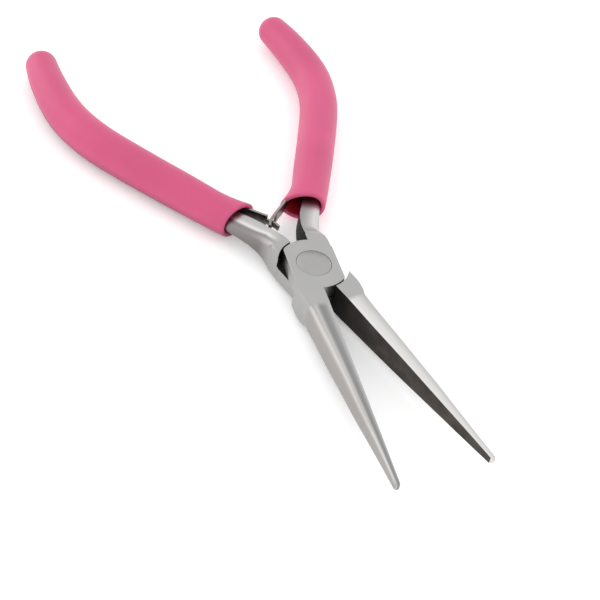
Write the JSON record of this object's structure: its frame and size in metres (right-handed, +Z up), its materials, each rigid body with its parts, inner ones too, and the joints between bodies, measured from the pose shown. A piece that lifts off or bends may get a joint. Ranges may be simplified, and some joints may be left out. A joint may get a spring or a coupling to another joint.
{
  "type": "long-nose jewellery pliers",
  "caption": "Spring-return lap-joint jewellery pliers with long tapered half-round jaws and bowed handles in soft pink sleeves.",
  "frame": {"origin": "where the pivot axis meets the flat underside of the joint", "axes": "+X from the pivot to the jaw tips along the centre line between the jaws, +Z up along the pivot axis, out of the joint's upper face"},
  "size_m": [0.1493, 0.0744, 0.0092],
  "materials": {
    "forged_steel": "satin brushed steel with dark oxide left on the jaw faces and in the lap joint",
    "rivet_steel": "ground flush, satin",
    "spring_steel": "tempered strip, bright edges",
    "grip_vinyl": "satin soft vinyl, fine moulded grain"
  },
  "bodies": {
    "lower_arm": {"lower_half": "forged_steel", "pivot_rivet": "rivet_steel", "grip_left": "grip_vinyl", "spring_rivet_left": "rivet_steel"},
    "upper_arm": {"upper_half": "forged_steel", "grip_right": "grip_vinyl", "spring_rivet_right": "rivet_steel"},
    "right_leaf": {"leaf_spring_slotted": "spring_steel"},
    "left_leaf": {"leaf_spring_tongue": "spring_steel"}
  },
  "joints": [
    {"name": "pivot", "type": "hinge", "parent": "lower_arm", "child": "upper_arm", "pos_m": [0, 0, 0], "axis": [0, 0, 1], "range_deg": [-8, 19.6], "stiffness_Nm_per_rad": 0.6},
    {"name": "right_leaf_flex", "type": "hinge", "parent": "upper_arm", "child": "right_leaf", "pos_m": [-0.03043, 0.01292, 0.0035], "axis": [0, 0, 1], "range_deg": [-6.8, 16.6]},
    {"name": "left_leaf_flex", "type": "hinge", "parent": "lower_arm", "child": "left_leaf", "pos_m": [-0.03043, -0.01292, 0.0035], "axis": [0, 0, 1], "range_deg": [-5.6, 2.3]}
  ],
  "couplings": [
    {"joint": "right_leaf_flex", "follows": "pivot", "ratio": 0.84},
    {"joint": "left_leaf_flex", "follows": "pivot", "ratio": -0.28}
  ]
}
